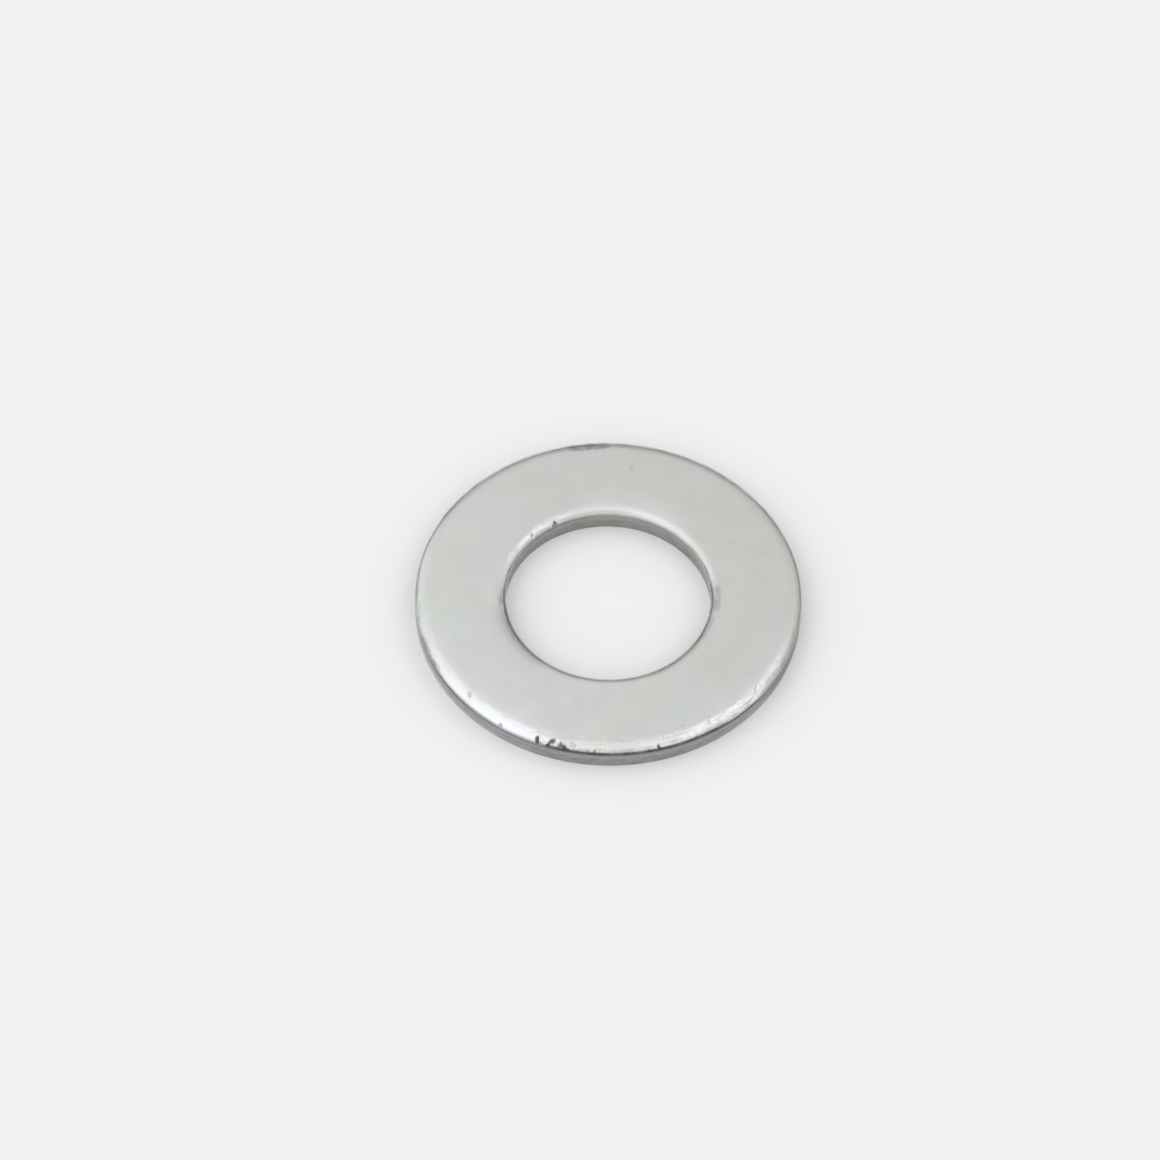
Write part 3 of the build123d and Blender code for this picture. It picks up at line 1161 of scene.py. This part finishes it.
def floor_material(studio):
    """Plain, pale and matt."""
    material = bpy.data.materials.new("pale_floor")
    material.use_nodes = True
    shader = material.node_tree.nodes["Principled BSDF"]
    shader.inputs["Base Color"].default_value = studio.floor_colour
    shader.inputs["Roughness"].default_value = FLOOR_ROUGHNESS
    shader.inputs["Specular IOR Level"].default_value = FLOOR_REFLECTION
    return material


def make_floor(studio):
    corners = [(-1, -1), (1, -1), (1, 1), (-1, 1)]
    mesh = bpy.data.meshes.new("pale_floor")
    mesh.from_pydata([(x * FLOOR_HALF, y * FLOOR_HALF, ring_low.z) for x, y in corners], [], [(0, 1, 2, 3)])
    mesh.materials.append(floor_material(studio))
    floor = add_object("pale_floor", mesh)


def direction_of(azimuth, elevation):
    """The unit vector towards an azimuth and an elevation in degrees."""
    flat = cos(radians(elevation))
    return (cos(radians(azimuth)) * flat, sin(radians(azimuth)) * flat, sin(radians(elevation)))


def make_surroundings(studio):
    """Light that falls off towards the horizon, with a glow on the left and a dark side at the back."""
    world = bpy.data.worlds.new("studio")
    world.use_nodes = True
    world.node_tree.nodes.clear()
    net = Net(world.node_tree)
    direction = net.add("ShaderNodeTexCoord", output="Generated")
    _, _, upward = net.split(direction)
    fade = net.node("ShaderNodeValToRGB", {"Fac": upward})
    fade.color_ramp.interpolation = "EASE"
    stops = fade.color_ramp.elements
    levels = [(0.0, studio.low_level), (MIDDLE_HEIGHT, studio.middle_level), (1.0, studio.high_level)]
    while len(stops) < len(levels):
        stops.new(0.5)
    for stop, (height, level) in zip(stops, levels):
        stop.position = height
        stop.color = (level, level, level, 1.0)

    def towards(azimuth, elevation, narrowness):
        """1 towards one direction, and less the further a direction is from it."""
        middle = direction_of(azimuth, elevation)
        return net.most(net.dot(direction, middle), 0.0) ** narrowness

    change = 1.0 + (towards(*GLOW) * studio.glow_level - towards(*SHADE) * studio.shade_level)
    light = net.scale(net.outputs(fade)["Color"], net.most(change, 0.0))
    background = net.add("ShaderNodeBackground", {"Color": light})
    net.node("ShaderNodeOutputWorld", {"Surface": background})
    bpy.context.scene.world = world


def softbox(name, azimuth, elevation, distance, width, height, level):
    """A flat rectangle of even brightness that faces the ring."""
    data = bpy.data.lights.new(name, "AREA")
    data.shape = "RECTANGLE"
    data.size = width
    data.size_y = height
    data.energy = level * pi * width * height
    lamp = add_object(name, data)
    away = Vector(direction_of(azimuth, elevation))
    lamp.rotation_mode = "QUATERNION"
    lamp.rotation_quaternion = away.to_track_quat("Z", "Y")
    lamp.location = away * distance


def make_camera(studio):
    """Looks down at the ring from the front, from far enough away to keep its circles nearly true."""
    elevation, roll = studio.view_elevation, studio.view_roll
    back = Vector((0.0, -cos(elevation), sin(elevation)))
    level_up = Vector((0.0, sin(elevation), cos(elevation)))
    level_right = Vector((1.0, 0.0, 0.0))
    right = cos(roll) * level_right + sin(roll) * level_up
    up = cos(roll) * level_up - sin(roll) * level_right
    aim = Vector((0.0, 0.0, ring_low.z)) - studio.ring_right * right + studio.ring_down * up

    data = bpy.data.cameras.new("camera")
    data.lens = data.sensor_width * studio.view_distance / studio.view_width
    data.clip_start, data.clip_end = CAMERA_RANGE
    camera = add_object("camera", data)
    axes = Matrix((right, up, back)).transposed()
    camera.matrix_world = Matrix.Translation(aim + back * studio.view_distance) @ axes.to_4x4()
    bpy.context.scene.camera = camera


class WASHER_OT_set_stage(bpy.types.Operator):
    """Sets the floor, the light and the camera"""

    bl_idname = "washer.set_stage"
    bl_label = "Set Stage"

    def execute(self, context):
        studio = context.scene.washer_studio
        make_floor(studio)
        make_surroundings(studio)
        for side, sizes in SOFTBOXES.items():
            softbox(f"{side}_softbox", *sizes, getattr(studio, f"{side}_level"))
        make_camera(studio)
        context.scene.view_settings.view_transform = "Standard"
        return {"FINISHED"}


class WASHER_PT_panel(bpy.types.Panel):
    bl_label = "Sealing Washer"
    bl_idname = "WASHER_PT_panel"
    bl_space_type = "VIEW_3D"
    bl_region_type = "UI"
    bl_category = "Washer"

    def draw(self, context):
        layout = self.layout
        scene = context.scene
        for settings, operator in (
            (scene.washer_sizes, None),
            (scene.washer_finish, WASHER_OT_make_ring),
            (scene.washer_studio, WASHER_OT_set_stage),
        ):
            column = layout.column(align=True)
            for name in type(settings).__annotations__:
                column.prop(settings, name)
            if operator:
                layout.operator(operator.bl_idname)


SETTINGS = {"washer_sizes": WasherSizes, "washer_finish": WasherFinish, "washer_studio": WasherStudio}
CLASSES = (*SETTINGS.values(), WASHER_OT_make_ring, WASHER_OT_set_stage, WASHER_PT_panel)


def register():
    for item in CLASSES:
        bpy.utils.register_class(item)
    for name, settings in SETTINGS.items():
        setattr(bpy.types.Scene, name, bpy.props.PointerProperty(type=settings))


def unregister():
    for name in SETTINGS:
        delattr(bpy.types.Scene, name)
    for item in reversed(CLASSES):
        bpy.utils.unregister_class(item)


def main():
    register()
    bpy.ops.washer.make_ring()
    bpy.ops.washer.set_stage()
    bpy.context.view_layer.update()


if __name__ == "__main__":
    main()
